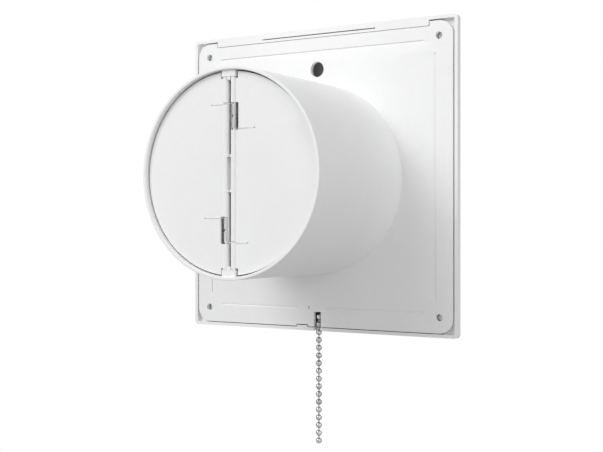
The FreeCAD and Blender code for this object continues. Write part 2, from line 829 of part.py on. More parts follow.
def make_terminal_block():
    top, right = terminal_bottom + terminal_height, terminal_left + terminal_width
    front = plate_front - terminal_depth
    middle = plate_front - terminal_depth / 2
    block = box(terminal_left, right, front, plate_front, terminal_bottom, top)
    cuts = []
    for x, z in terminal_screw_places():
        cuts.append(box(x - terminal_entry_half, x + terminal_entry_half, middle - terminal_entry_half,
                        middle + terminal_entry_half, terminal_bottom, top))
        cuts.append(prism_y(screw_sides, terminal_screw_radius + push_clearance, front, middle, x, z))
    for i in range(1, terminal_ways):
        x = terminal_left + terminal_pitch * i
        cuts.append(box(x - terminal_groove_half, x + terminal_groove_half, front, front + terminal_depth / 3,
                        terminal_bottom, top))
    x, z = terminal_screw_place()
    cuts.append(small_screw_hole(front, x, z))
    cuts.append(prism_y(screw_sides, small_head_radius + small_screw_clearance, front,
                        plate_front - terminal_depth / 4, x, z))
    return block.cut(cuts)


def make_terminal_screws():
    top = plate_front - terminal_depth + terminal_screw_sink
    r = terminal_screw_radius
    screws = []
    for x, z in terminal_screw_places():
        slot = box(x - r, x + r, top, top + terminal_screw_sink, z - r / 6, z + r / 6)
        screws.append(prism_y(screw_sides, r, top, top + terminal_screw_depth, x, z).cut(slot))
    return screws


def make_terminal_mount_screw():
    x, z = terminal_screw_place()
    return small_screw(plate_front - terminal_depth / 4, x, z)


def make_cable_clamp():
    top, right = clamp_bottom + clamp_height, clamp_left + clamp_width
    front = plate_front - clamp_depth
    clamp = box(clamp_left, right, front, plate_front, clamp_bottom, top)
    roof = front + clamp_bridge
    channel = box(clamp_left, right, roof, plate_front, clamp_bottom + clamp_foot, top - clamp_foot)
    return clamp.cut([channel] + [small_screw_hole(front, x, z) for x, z in clamp_screw_places()])


def make_cable_clamp_screws():
    return [small_screw(plate_front - clamp_depth, x, z) for x, z in clamp_screw_places()]


def make_switch_body():
    front = plate_front - switch_depth
    body = box(-switch_half_width, switch_half_width, front, plate_front, switch_bottom, switch_top)
    cuts = [
        rod_z(chamber_radius, chamber_bottom, switch_top, 0, plunger_y),
        rod_z(plunger_radius + plunger_clearance, switch_bottom, chamber_bottom, 0, plunger_y),
    ]
    return body.cut(cuts + [small_screw_hole(front, x, z) for x, z in switch_screw_places()])


def make_switch_cap():
    return rod_z(chamber_radius - push_clearance, switch_top - switch_cap_height, switch_top, 0, plunger_y)


def make_switch_screws():
    return [small_screw(plate_front - switch_depth, x, z) for x, z in switch_screw_places()]


def make_switch_plunger():
    stem = rod_z(plunger_radius, plunger_bottom, collar_top, 0, plunger_y)
    return stem.fuse(rod_z(plunger_collar_radius, collar_bottom, collar_top, 0, plunger_y))


def make_switch_spring():
    z0 = chamber_bottom + switch_wire_radius + spring_seat_gap
    z1 = collar_bottom - switch_wire_radius - spring_seat_gap
    edges = helix_edges(switch_coil_radius, z0, z1, switch_coil_turns, 1, 0.0, 0.0, plunger_y)
    gap = least_self_gap(edges, switch_wire_radius, 4 * switch_coil_radius)
    print("switch spring self gap", round(gap, 3))
    return wire_tube(edges, switch_wire_radius)


def upper_bead_places():
    """Bead centres from the coupling down: leaning out to the slot, then hanging to the swing point."""
    places = [vec(0, plunger_y, plunger_bottom - coupling_drop)]
    for share in chain_lean_shares:
        out = share * (-chain_depth - plunger_y)
        places.append(places[-1] + vec(0, out, -math.sqrt(bead_pitch ** 2 - out ** 2)))
    while places[-1].z > -frame_half:
        places.append(places[-1] - vec(0, 0, bead_pitch))
    return places


def swing_point():
    return upper_bead_places()[-1] - vec(0, 0, bead_pitch)


def ring_at(centre, way, radius):
    """Evenly spaced corners round the chain."""
    side = vec(1, 0, 0)
    lift = way.cross(side).normalize()
    angles = [2 * math.pi * (i + 0.5) / chain_sides for i in range(chain_sides)]
    return [centre + side * (radius * math.cos(a)) + lift * (radius * math.sin(a)) for a in angles]


def make_bead(centre, way):
    """A bead with small flats where the links enter it."""
    flat = math.asin(bead_hole_radius / bead_radius)
    angles = [flat + (math.pi - 2 * flat) * i / bead_bands for i in range(bead_bands + 1)]
    return faceted([ring_at(centre - way * (bead_radius * math.cos(a)), way, bead_radius * math.sin(a))
                    for a in angles])


def make_link(start, end):
    way = (end - start).normalize()
    return faceted([ring_at(start, way, link_radius), ring_at(end, way, link_radius)])


def chain_of(places):
    """Beads on their links, as one length of chain listed from its highest bead."""
    ways = [(a - b).normalize() for a, b in zip(places, places[1:])]
    beads = [make_bead(place, way) for place, way in zip(places, ways + ways[-1:])]
    links = [make_link(b + way * (bead_radius / 2), a - way * (bead_radius / 2))
             for a, b, way in zip(places, places[1:], ways)]
    return beads[0].fuse(beads[1:] + links)


def make_chain_upper():
    places = upper_bead_places()
    stub = make_link(swing_point() + vec(0, 0, bead_radius + chain_swing_gap), places[-1])
    return chain_of(places).fuse(stub)


def make_chain_lower():
    return chain_of([swing_point() - vec(0, 0, bead_pitch * i) for i in range(hanging_beads)])


def make_chain_coupling():
    """The bell on the plunger that holds the first bead."""
    mouth = plunger_bottom - coupling_drop - bead_radius / 2
    bore = bead_radius + coupling_clearance
    bell = rod_z(bore + coupling_wall, mouth, plunger_bottom, 0, plunger_y)
    return bell.cut(rod_z(bore, mouth, plunger_bottom - coupling_wall, 0, plunger_y))


def make_parts():
    leaf_holes = [(barrel_x + near_leg_reach, -flap_coil_high), (far_leg_reach - barrel_x, flap_coil_low)]
    leaf = make_leaf(leaf_holes)
    spring = make_flap_spring()
    return {
        "fan_housing": make_fan_housing(),
        "front_frame": make_front_frame(),
        "inlet_grille": make_inlet_grille(),
        "flap_left": leaf,
        "flap_right": turned(leaf, 180),
        "hinge_pin_left": make_hinge_pin(1),
        "hinge_pin_right": make_hinge_pin(-1),
        "flap_spring_lower": spring,
        "flap_spring_upper": turned(spring, 180),
        "motor_mount": make_motor_mount(),
        "motor_cap": make_motor_cap(),
        "motor_screws": make_motor_screws(),
        "rear_bearing": make_bearing(rear_bearing_front),
        "front_bearing": make_bearing(front_bearing_front),
        "stator_core": make_stator_core(),
        "stator_windings": make_stator_windings(),
        "rotor_core": make_rotor_core(),
        "motor_shaft": make_motor_shaft(),
        "thrust_washers": make_thrust_washers(),
        "impeller": make_impeller(),
        "impeller_clip": make_impeller_clip(),
        "terminal_block": make_terminal_block(),
        "terminal_screws": make_terminal_screws(),
        "terminal_mount_screw": make_terminal_mount_screw(),
        "cable_clamp": make_cable_clamp(),
        "cable_clamp_screws": make_cable_clamp_screws(),
        "switch_body": make_switch_body(),
        "switch_cap": make_switch_cap(),
        "switch_screws": make_switch_screws(),
        "switch_plunger": make_switch_plunger(),
        "switch_spring": make_switch_spring(),
        "chain_coupling": make_chain_coupling(),
        "chain_upper": make_chain_upper(),
        "chain_lower": make_chain_lower(),
    }


def main():
    os.makedirs("parts", exist_ok=True)
    for node, made in make_parts().items():
        shape = Part.makeCompound(made) if isinstance(made, list) else made
        shape.exportStep("parts/" + node + ".step")
        print(node, len(shape.Solids), "solid", round(shape.Volume, 1), "mm3", shape.isValid())
    print("the chain swings about", swing_point())


main()
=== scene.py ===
# %% [markdown]
# A wall ventilation fan, seen from the duct side
# The fan is a flat square cover with a round spigot that goes into a duct in the wall. Two spring-loaded
# leaves close the spigot when the fan is off, and a bead chain pulls the switch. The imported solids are
# the fixed frame for everything here. This lesson dresses them with softened mouldings, wound springs,
# round beads and finishes, and every new piece rides on the body that carries the real one.

import json
import math

import bmesh
import bpy
from mathutils import Matrix, Vector

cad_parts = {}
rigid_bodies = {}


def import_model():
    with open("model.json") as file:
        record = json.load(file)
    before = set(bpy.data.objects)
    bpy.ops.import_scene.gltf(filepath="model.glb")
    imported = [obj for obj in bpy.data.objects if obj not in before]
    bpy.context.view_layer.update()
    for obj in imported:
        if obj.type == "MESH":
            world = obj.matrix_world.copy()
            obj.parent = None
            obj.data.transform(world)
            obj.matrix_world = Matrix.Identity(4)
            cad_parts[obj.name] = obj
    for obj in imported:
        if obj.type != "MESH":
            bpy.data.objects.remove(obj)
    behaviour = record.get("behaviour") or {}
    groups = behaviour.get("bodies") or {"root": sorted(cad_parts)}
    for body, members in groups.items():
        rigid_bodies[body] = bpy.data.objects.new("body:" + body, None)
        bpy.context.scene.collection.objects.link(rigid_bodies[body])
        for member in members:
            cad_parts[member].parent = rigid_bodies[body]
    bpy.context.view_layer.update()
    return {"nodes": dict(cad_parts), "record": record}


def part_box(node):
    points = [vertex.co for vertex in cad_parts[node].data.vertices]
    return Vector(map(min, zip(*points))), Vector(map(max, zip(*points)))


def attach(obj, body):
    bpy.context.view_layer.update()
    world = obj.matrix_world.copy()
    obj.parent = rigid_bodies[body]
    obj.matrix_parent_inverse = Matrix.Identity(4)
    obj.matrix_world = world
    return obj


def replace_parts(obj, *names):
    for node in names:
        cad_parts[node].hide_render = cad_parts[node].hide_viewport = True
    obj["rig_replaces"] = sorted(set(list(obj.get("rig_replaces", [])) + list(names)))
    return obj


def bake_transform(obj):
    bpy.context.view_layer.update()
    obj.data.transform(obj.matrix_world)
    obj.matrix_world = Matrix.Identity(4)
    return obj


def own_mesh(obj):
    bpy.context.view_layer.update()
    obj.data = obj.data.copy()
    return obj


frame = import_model()
nodes = frame["nodes"]

# %% [markdown]
# The camera
# The camera could be placed by eye, but the square cover gives it exactly: its four corners in the
# picture fix how far away the camera stood and how long its lens was. It is level, stands a little below
# the middle of the fan, and looks at the duct side from the right.

# %% Camera
camera_place = (-0.28977, 0.49337, -0.02451)
camera_heading, camera_lens = 211.25, 64.58


def place_camera(place, heading, lens):
    """A level camera whose heading is in degrees from +Y."""
    data = bpy.data.cameras.new("camera")
    data.sensor_fit = "HORIZONTAL"
    data.sensor_width = 36.0
    data.lens = lens
    data.clip_start = 0.01
    camera = bpy.data.objects.new("camera", data)
    bpy.context.scene.collection.objects.link(camera)
    camera.location = place
    camera.rotation_euler = (math.radians(90), 0, math.radians(heading))
    bpy.context.scene.camera = camera
    return camera


camera = place_camera(camera_place, camera_heading, camera_lens)
print("camera", tuple(round(v, 3) for v in camera.location), "lens", camera.data.lens)

# %% [markdown]
# Shader sums
# A finish is a small sum of noise, grain and colour. Written as nodes one by one it is hard to read, so
# one class holds a socket and lets Python's own signs add the nodes: numbers go through Math nodes, and
# colours through Mix nodes, which keep them coloured.

# %% A socket that can be added and multiplied
class Wire:
    def __init__(self, tree, socket=None):
        self.tree = tree
        self.socket = socket

    def node(self, kind, settings, sockets, output=0):
        """Adds a node, sets it, fills its sockets with values or wires, and gives one of its outputs."""
        made = self.tree.nodes.new(kind)
        for name, value in settings.items():
            setattr(made, name, value)
        for name, value in sockets.items():
            if isinstance(value, Wire):
                self.tree.links.new(value.socket, made.inputs[name])
            else:
                made.inputs[name].default_value = value
        return Wire(self.tree, made.outputs[output])

    def sum(self, operation, first, second):
        return self.node("ShaderNodeMath", {"operation": operation}, {0: first, 1: second})

    def __add__(self, other):
        return self.sum("ADD", self, other)

    __radd__ = __add__

    def __sub__(self, other):
        return self.sum("SUBTRACT", self, other)

    def __rsub__(self, other):
        return self.sum("SUBTRACT", other, self)

    def __mul__(self, other):
        return self.sum("MULTIPLY", self, other)

    __rmul__ = __mul__

    def __gt__(self, level):
        return self.sum("GREATER_THAN", self, level)

    def between(self, low, high):
        """The value brought to 0 at low and 1 at high."""
        limits = {"Value": self, "From Min": low, "From Max": high}
        return self.node("ShaderNodeMapRange", {"clamp": True}, limits)

    def blend(self, first, second):
        """A colour that goes from the first to the second as this value goes from 0 to 1."""
        return self.node("ShaderNodeMix", {"data_type": "RGBA"}, {0: self, 6: first, 7: second}, 2)


# %% Parts of a finish
def rgb(red, green, blue):
    return (red, green, blue, 1.0)


def new_material(name):
    """A material with its shader, and a wire that starts from the piece's own coordinates."""
    material = bpy.data.materials.new(name)
    material.use_nodes = True
    tree = material.node_tree
    shader = tree.nodes["Principled BSDF"]
    place = Wire(tree).node("ShaderNodeTexCoord", {}, {}, 3)
    return material, shader, place


def feed(shader, name, wire):
    wire.tree.links.new(wire.socket, shader.inputs[name])


def noise(place, scale, detail=2.0):
    return place.node("ShaderNodeTexNoise", {}, {"Vector": place, "Scale": scale, "Detail": detail})


def bump(height, strength, distance):
    relief = {"Strength": strength, "Distance": distance, "Height": height}
    return height.node("ShaderNodeBump", {}, relief)


# %% [markdown]
# Moulded plastics
# The white parts are satin mouldings: almost one colour, with a faint unevenness where the plastic flowed
# and a very fine grain from the mould. A flat colour would look like paper, so a slow noise moves the
# colour and the gloss a little, and a fast noise gives the grain as a bump.

# %% Plastics
flow_scale, dust_scale, grain_scale, grain_height = 28.0, 420.0, 2600.0, 0.00004
shaded_share = 0.965
plastic_ior, plastic_shine = 1.49, 0.3


def moulded_plastic(name, colour, gloss, grain):
    material, shader, place = new_material(name)
    flow = noise(place, flow_scale, 3.0)
    dust = noise(place, dust_scale, 4.0)
    fine = noise(place, grain_scale, 1.0)
    darker = rgb(*[c * shaded_share for c in colour])
    uneven = (flow * 0.7 + dust * 0.3).between(0.34, 0.6)
    feed(shader, "Base Color", uneven.blend(darker, rgb(*colour)))
    feed(shader, "Roughness", gloss + (flow - 0.5) * 0.10 + (dust - 0.5) * 0.06)
    feed(shader, "Normal", bump(fine, grain, grain_height))
    shader.inputs["IOR"].default_value = plastic_ior
    shader.inputs["Specular IOR Level"].default_value = plastic_shine
    return material


finish = {
    "white_plastic": moulded_plastic("white_plastic", (0.87, 0.872, 0.876), 0.48, 0.2),
    "impeller_plastic": moulded_plastic("impeller_plastic", (0.80, 0.81, 0.82), 0.46, 0.3),
    "grey_plastic": moulded_plastic("grey_plastic", (0.66, 0.67, 0.68), 0.45, 0.4),
    "black_plastic": moulded_plastic("black_plastic", (0.030, 0.030, 0.033), 0.42, 0.5),
}
print("plastics", sorted(finish))

# %% [markdown]
# Bare metals
# Drawn wire, ground pins, plated screws, nickel beads, bronze and brass are all metal, so one recipe
# makes them: a fully metallic shader, fine lines along the way that the metal was drawn or turned, and
# darker spots where oil and handling have dulled it. The small beads mirror a dark room at their edges,
# which a white background can't give them, so their edge tint is almost black.

# %% Metals
drawn_scale, worn_scale, drawn_height = 900.0, 240.0, 0.00002


def bare_metal(name, colour, dull, gloss, stretch, lines, edge):
    """A metal with a colour where it is clean and dull, its roughness, lines and edge tint."""
    material, shader, place = new_material(name)
    along = place.node("ShaderNodeMapping", {}, {"Vector": place, "Scale": stretch})
    drawn = noise(along, drawn_scale, 3.0)
    worn = noise(place, worn_scale, 3.0)
    feed(shader, "Base Color", worn.between(0.36, 0.62).blend(rgb(*dull), rgb(*colour)))
    feed(shader, "Roughness", gloss + (drawn - 0.5) * 0.22 + (0.5 - worn) * 0.12)
    feed(shader, "Normal", bump(drawn, lines, drawn_height))
    shader.inputs["Metallic"].default_value = 1.0
    shader.inputs["Specular Tint"].default_value = rgb(edge, edge, edge)
    return material


metals = {
    "spring_steel": ((0.68, 0.68, 0.69), (0.60, 0.60, 0.61), 0.55, (1, 1, 0.2), 0.1, 1.0),
    "pin_steel": ((0.66, 0.66, 0.67), (0.50, 0.50, 0.51), 0.30, (1, 1, 0.1), 0.2, 1.0),
    "screw_steel": ((0.64, 0.64, 0.62), (0.46, 0.46, 0.44), 0.34, (1, 0.2, 1), 0.2, 1.0),
    "chain_steel": ((0.50, 0.50, 0.50), (0.34, 0.34, 0.34), 0.2, (1, 1, 1), 0.1, 0.02),
    "bearing_bronze": ((0.60, 0.42, 0.24), (0.44, 0.30, 0.17), 0.42, (1, 1, 1), 0.4, 1.0),
    "terminal_brass": ((0.74, 0.57, 0.28), (0.56, 0.42, 0.20), 0.32, (1, 1, 1), 0.2, 1.0),
}
for name, look in metals.items():
    finish[name] = bare_metal(name, *look)
print("metals", sorted(metals))

# %% [markdown]
# Motor core and windings
# The core is a stack of thin steel sheets, so fine bands cross it along the shaft. The coils are
# enamelled wire, which shows as a row of fine rounded turns, with painted shade darkening the copper in
# the creases between turns. Both patterns are waves read from the piece's own place.

# %% Core and copper
sheet_scale, turn_scale, rust_scale = 320.0, 560.0, 300.0


def bands(place, direction, scale, distortion):
    settings = {"wave_type": "BANDS", "bands_direction": direction}
    sockets = {"Vector": place, "Scale": scale, "Distortion": distortion, "Detail": 1.0}
    return place.node("ShaderNodeTexWave", settings, sockets, 1)


def laminated_core(name):
    material, shader, place = new_material(name)
    sheet = bands(place, "Y", sheet_scale, 0.3)
    rust = noise(place, rust_scale, 4.0)
    dark, light = rgb(0.20, 0.20, 0.21), rgb(0.34, 0.34, 0.35)
    feed(shader, "Base Color", rust.between(0.35, 0.65).blend(dark, light))
    feed(shader, "Roughness", 0.42 + (rust - 0.5) * 0.2)
    feed(shader, "Normal", bump(sheet, 0.6, 0.0001))
    shader.inputs["Metallic"].default_value = 0.9
    return material


def enamelled_wire(name):
    material, shader, place = new_material(name)
    turn = bands(place, "DIAGONAL", turn_scale, 0.8)
    # painted shade: the copper is darker where the turn wave is low, in the creases between turns
    feed(shader, "Base Color", turn.blend(rgb(0.30, 0.10, 0.035), rgb(0.62, 0.27, 0.10)))
    feed(shader, "Roughness", 0.34 + (0.5 - turn) * 0.2)
    feed(shader, "Normal", bump(turn, 0.9, 0.0002))
    shader.inputs["Metallic"].default_value = 0.75
    return material


finish["core_steel"] = laminated_core("core_steel")
finish["winding_copper"] = enamelled_wire("winding_copper")
print("finishes", len(finish))

# %% [markdown]
# Floor, background and light
# The fan stands out from a white background. More light on the object would burn the white plastic out,
# so the background is white only to the camera and to reflections. For all other rays the room is a soft
# dome, brighter above than below. A large panel high on the duct side throws the broad shade of the
# spigot over the lower right of the plate, a weaker one fills in the spigot's side, and a low one on the
# room side lights the grille. The floor is a small pale sheet well below the fan.

# %% White surroundings
dome_mean, dome_tilt, dome_top = 0.36, 0.36, (0.04, 0.50, 0.86)


def seen_directly(wire):
    """1 for rays that show the background itself: straight to the camera, mirrored, or through glass."""
    rays = wire.node("ShaderNodeLightPath", {}, {})
    outputs = rays.socket.node.outputs
    names = ("Is Camera Ray", "Is Glossy Ray", "Is Transmission Ray")
    kinds = [Wire(wire.tree, outputs[name]) for name in names]
    return (kinds[0] + kinds[1] + kinds[2]) > 0.5


world = bpy.data.worlds.new("white room")
bpy.context.scene.world = world
world.use_nodes = True
background = world.node_tree.nodes["Background"]
background.inputs["Color"].default_value = rgb(1.0, 1.0, 1.0)
room = Wire(world.node_tree)
shown = seen_directly(room)
way = room.node("ShaderNodeTexCoord", {}, {}, 0)
height = room.node("ShaderNodeVectorMath", {"operation": "DOT_PRODUCT"}, {0: way, 1: dome_top}, 1)
feed(background, "Strength", shown + (1 - shown) * (dome_mean + height * dome_tilt))
print("dome", dome_mean, dome_tilt)

# %% Floor
floor_size, floor_level, floor_grey, floor_glow = 1.5, -0.45, 0.42, 0.85
bpy.ops.object.select_all(action="DESELECT")
bpy.ops.mesh.primitive_plane_add(size=floor_size, location=(0, 0, floor_level))
floor = bpy.context.object
floor.name = "floor"
floor_paint, floor_shader, floor_place = new_material("floor_paint")
floor_shader.inputs["Base Color"].default_value = rgb(floor_grey, floor_grey, floor_grey)
floor_shader.inputs["Roughness"].default_value = 0.8
floor_tree = floor_place.tree
glow = floor_place.node("ShaderNodeEmission", {}, {"Color": rgb(1, 1, 1), "Strength": 1.0})
paint = Wire(floor_tree, floor_shader.outputs[0])
share = seen_directly(floor_place) * floor_glow
floor_mix = floor_place.node("ShaderNodeMixShader", {}, {0: share, 1: paint, 2: glow})
floor_tree.links.new(floor_mix.socket, floor_tree.nodes["Material Output"].inputs["Surface"])
floor.data.materials.append(floor_paint)
print("floor at", round(floor.location.z, 2))

# %% Lamps
lamps = {
    "main_panel": ((0.53, 0.95, 0.78), (0, 0.03, 0), 0.7, 9.6),
    "side_panel": ((-0.82, 0.30, 0.15), (0, 0.03, 0), 0.6, 2.0),
    "room_panel": ((0.12, -1.1, 0.15), (0, -0.01, 0), 0.4, 6.0),
}


def soft_panel(name, place, aim, size, watts):
    data = bpy.data.lights.new(name, "AREA")
    data.shape = "SQUARE"
    data.size = size
    data.energy = watts
    lamp = bpy.data.objects.new(name, data)
    bpy.context.scene.collection.objects.link(lamp)
    lamp.location = place
    lamp.rotation_euler = (Vector(aim) - Vector(place)).to_track_quat("-Z", "Y").to_euler()
    print(name, watts, "W")


for name, panel in lamps.items():
    soft_panel(name, *panel)
bpy.context.scene.view_settings.view_transform = "Standard"

# %% [markdown]
# Workshop helpers
# The pieces are modelled as by hand: a primitive is added, its faces or edges are picked by where they
# are, an operator changes them, and modifiers finish it. These helpers keep that short. Sizes are written
# in millimetres and become metres as a primitive is added.

# %% Adding
mm = 0.001


def alone(piece):
    """Selects one piece and nothing else."""
    bpy.ops.object.select_all(action="DESELECT")
    piece.select_set(True)
    bpy.context.view_layer.objects.active = piece


def settle(piece, name):
    """Moves the piece's place, turn and size into its mesh."""
    alone(piece)
    bpy.ops.object.transform_apply(location=True, rotation=True, scale=True)
    piece.name = name
    piece.data.name = name
    return piece


def block(name, x0, x1, y0, y1, z0, z1):
    """A box from its lowest to its highest corner."""
    middle = ((x0 + x1) / 2 * mm, (y0 + y1) / 2 * mm, (z0 + z1) / 2 * mm)
    bpy.ops.object.select_all(action="DESELECT")
    bpy.ops.mesh.primitive_cube_add(size=mm, location=middle)
    bpy.context.object.scale = (x1 - x0, y1 - y0, z1 - z0)
    return settle(bpy.context.object, name)


def round_bar(name, radius, start, end, sides=48, axis="Y", x=0.0, y=0.0, z=0.0, open_ends=False):
    """A round bar along Y or Z, from start to end."""
    middle, length = (start + end) / 2, end - start
    place = (x, middle, z) if axis == "Y" else (x, y, middle)
    turn = (math.radians(90), 0, 0) if axis == "Y" else (0, 0, 0)
    ends = "NOTHING" if open_ends else "NGON"
    bpy.ops.object.select_all(action="DESELECT")
    bpy.ops.mesh.primitive_cylinder_add(vertices=sides, radius=radius * mm, depth=length * mm,
                                        rotation=turn, location=Vector(place) * mm, end_fill_type=ends)
    return settle(bpy.context.object, name)


# %% Picking
def pick(piece, kind, wanted):
    """Opens the piece in edit mode with only the wanted vertices, edges or faces selected."""
    alone(piece)
    bpy.ops.object.mode_set(mode="EDIT")
    bpy.ops.mesh.select_mode(type=kind)
    bpy.ops.mesh.select_all(action="DESELECT")
    mesh = bmesh.from_edit_mesh(piece.data)
    for element in {"VERT": mesh.verts, "EDGE": mesh.edges, "FACE": mesh.faces}[kind]:
        if wanted(element):
            element.select_set(True)
    mesh.select_flush_mode()
    bmesh.update_edit_mesh(piece.data)


def done():
    bpy.ops.object.mode_set(mode="OBJECT")


def push(x, y, z):
    """Extrudes what is picked by a step in metres."""
    bpy.ops.mesh.extrude_region_move(TRANSFORM_OT_translate={"value": (x, y, z)})


def round_edges(piece, wanted, radius, segments):
    """Bevels the wanted edges."""
    pick(piece, "EDGE", wanted)
    bpy.ops.mesh.bevel(offset=radius * mm, segments=segments, affect="EDGES")
    done()


def round_corners(piece, radius, segments):
    """Bevels the edges that run along Y, which are a slab's corners."""

    def runs_along_y(edge):
        return abs((edge.verts[0].co - edge.verts[1].co).normalized().y) > 0.9

    round_edges(piece, runs_along_y, radius, segments)


# %% Cutting
def finish_with(piece, kind, **settings):
    """Adds a modifier and applies it."""
    alone(piece)
    modifier = piece.modifiers.new(kind.lower(), kind)
    for name, value in settings.items():
        setattr(modifier, name, value)
    bpy.ops.object.modifier_apply(modifier=modifier.name)
    return piece


def together(name, pieces):
    """Joins pieces into the first one."""
    alone(pieces[0])
    for piece in pieces[1:]:
        piece.select_set(True)
    if len(pieces) > 1:
        bpy.ops.object.join()
    pieces[0].name = name
    pieces[0].data.name = name
    return pieces[0]


def work_with(piece, tools, operation):
    """Cuts the tools out of the piece, grows the piece by them, or keeps what they share."""
    for tool in tools:
        finish_with(piece, "BOOLEAN", operation=operation, object=tool, solver="EXACT")
        bpy.data.objects.remove(tool)
    return piece


def slice_at(piece, axis, places):
    """Draws lines across the piece's faces where planes cross it, so that cut faces stay simple."""
    normal = [0, 0, 0]
    normal[axis] = 1
    for place in places:
        pick(piece, "FACE", lambda f: True)
        bpy.ops.mesh.bisect(plane_co=[place * mm * n for n in normal], plane_no=normal)
        done()


def trim(piece, point, outward):
    """Cuts off what lies outside a plane and closes the cut."""
    pick(piece, "FACE", lambda f: True)
    bpy.ops.mesh.bisect(plane_co=Vector(point) * mm, plane_no=outward, use_fill=True, clear_outer=True)
    done()
    return piece


# %% Finishing and copying
def shade(piece, angle=50.0):
    """Smooth over gentle edges, sharp over others, with the large faces kept flat."""
    alone(piece)
    bpy.ops.object.shade_smooth_by_angle(angle=math.radians(angle))
    return finish_with(piece, "WEIGHTED_NORMAL", mode="FACE_AREA", weight=50, keep_sharp=True)


def soften(piece, width, segments=2):
    """Rounds the sharp edges a little, as a mould does."""
    finish_with(piece, "BEVEL", width=width * mm, segments=segments, limit_method="ANGLE",
                angle_limit=math.radians(35.0), use_clamp_overlap=True)
    return shade(piece)


def copy_of(piece, name):
    twin = piece.copy()
    twin.data = piece.data.copy()
    twin.name = name
    twin.data.name = name
    bpy.context.scene.collection.objects.link(twin)
    return twin


def turned(piece, degrees):
    """Turns the mesh round the spigot axis."""
    piece.data.transform(Matrix.Rotation(math.radians(degrees), 4, "Y"))
    return piece


def moved(piece, x, y, z):
    piece.data.transform(Matrix.Translation(Vector((x, y, z)) * mm))
    return piece


def paint_with(piece, slot):
    piece.data.materials.clear()
    piece.data.materials.append(finish[slot])


def hang(piece, body, slot, node):
    """Gives the piece its finish, the body that carries it and the node that it stands for."""
    paint_with(piece, slot)
    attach(piece, body)
    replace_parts(piece, node)
    print(piece.name, len(piece.data.polygons), "faces on", body)


# %% [markdown]
# Spigot
# The spigot is a plain moulded tube with a slightly rounded rim. It could be a spun profile, but a
# cylinder without ends, given its wall by Solidify and its rim by a bevel, is the same shape in three
# steps. The collar that guides air to the impeller is a second, shorter tube. The two pivot blocks, each
# with a small tongue between the leaves, and the stops for the leaves and the motor are blocks let into
# the wall.

# %% Spigot tube
spigot_radius, spigot_wall, spigot_foot, spigot_end, rim_edge = 49.75, 1.5, -2.4, 82.75, 0.28
spigot_bore = spigot_radius - spigot_wall
collar_wall, collar_front, collar_rear = 2.0, -12.3, -1.25
large_round = 160


def tube(name, radius, wall, start, end, edge=0.35):
    """A moulded tube on the spigot axis."""
    piece = round_bar(name, radius, start, end, large_round, open_ends=True)
    finish_with(piece, "SOLIDIFY", thickness=wall * mm, offset=-1.0)
    return soften(piece, edge, 3)


spigot = tube("spigot", spigot_radius, spigot_wall, spigot_foot, spigot_end, rim_edge)
collar = tube("collar", spigot_bore + collar_wall, collar_wall, collar_front, collar_rear)
print("spigot bore", spigot_bore, "mm")

# %% Pivot blocks
pivot_half, pivot_front, pivot_rear, pivot_low, pivot_high = 3.8, 75.95, 81.4, 44.95, 48.7
tongue_low, tongue_high = 43.4, 45.5
tongue_neck, tongue_cap = (0.52, 77.6, 81.0), (0.95, 80.8, 81.25)
lugs = []
for degrees in (0, 180):
    pivot = block("pivot_block", -pivot_half, pivot_half, pivot_front, pivot_rear, pivot_low, pivot_high)
    tongue = [block("tongue", -half, half, front, rear, tongue_low, tongue_high)
              for half, front, rear in (tongue_neck, tongue_cap)]
    lugs.append(turned(soften(work_with(pivot, tongue, "UNION"), 0.15), degrees))
print("pivot blocks", len(lugs))

# %% Stops
stop_half, stop_thick, stop_tall = 3, 1.5, 2.4
leaf_stop_front, leaf_stop_depth = 77.45, 1.6
ring_stop_front, ring_stop_depth = 60.0, 1.2
stop = soften(block("stop", -stop_half, stop_half, 0, stop_thick, 0, stop_tall), 0.2)
for quarter in range(4):
    leaf_stop = moved(copy_of(stop, "leaf_stop"), 0, leaf_stop_front, spigot_bore - leaf_stop_depth)
    ring_stop = moved(copy_of(stop, "ring_stop"), 0, ring_stop_front, spigot_bore - ring_stop_depth)
    lugs += [turned(leaf_stop, 90 * quarter + 45), turned(ring_stop, 90 * quarter)]
bpy.data.objects.remove(stop)
spigot = together("spigot", [spigot, collar] + lugs)
hang(spigot, "housing", "white_plastic", "fan_housing")

# %% [markdown]
# Base plate
# The plate is a flat square slab with rounded corners, four screw holes, a cable hole, a slot for the
# chain and shallow lines moulded round its edge. Each hole could be made by hand with insets, but cutting
# real shapes out of the slab is surer and keeps the holes round. The slab is first sliced through every
# hole, so that no cut leaves an island in a face, and its sharp edges are then softened to catch light as
# a moulding does.

# %% Plate and its cuts
plate_half, plate_drop, plate_thick, plate_corner = 77.5, 0.4, 2.5, 7.5
screw_offset, screw_hole, cable_height, cable_hole, chain_slot = 70, 1.8, 58.3, 4.0, 2.15
cut_front, cut_rear = -4, 2
edge_cuts = {
    "ledge_room": (-64.9, 64.9, 75.1, 79),
    "chain_room": (-chain_slot, chain_slot, -79, -70),
    "tab_room": (5.6, 12.8, -79, -76.8),
    "small_mark": (4.8, 5.4, -68.8, -66.8),
}
screw_places = [(x, z) for x in (-screw_offset, screw_offset) for z in (-screw_offset, screw_offset)]
plate = block("base_plate", -plate_half, plate_half, -plate_thick, 0, -plate_half - plate_drop, plate_half)
round_corners(plate, plate_corner, 12)
slice_at(plate, 0, (-69.5, -30, 0, 5.1, 30, 69.5))
slice_at(plate, 2, (-69.5, -67.8, 0, cable_height, 67.8, 69.5))
holes = [round_bar("cut", spigot_radius - spigot_wall / 2, cut_front, cut_rear, large_round)]
holes.append(round_bar("cut", cable_hole, cut_front, cut_rear, 64, z=cable_height))
holes += [round_bar("cut", screw_hole, cut_front, cut_rear, 40, x=x, z=z) for x, z in screw_places]
holes += [block(name, x0, x1, cut_front, cut_rear, z0, z1) for name, (x0, x1, z0, z1) in edge_cuts.items()]
work_with(plate, holes, "DIFFERENCE")
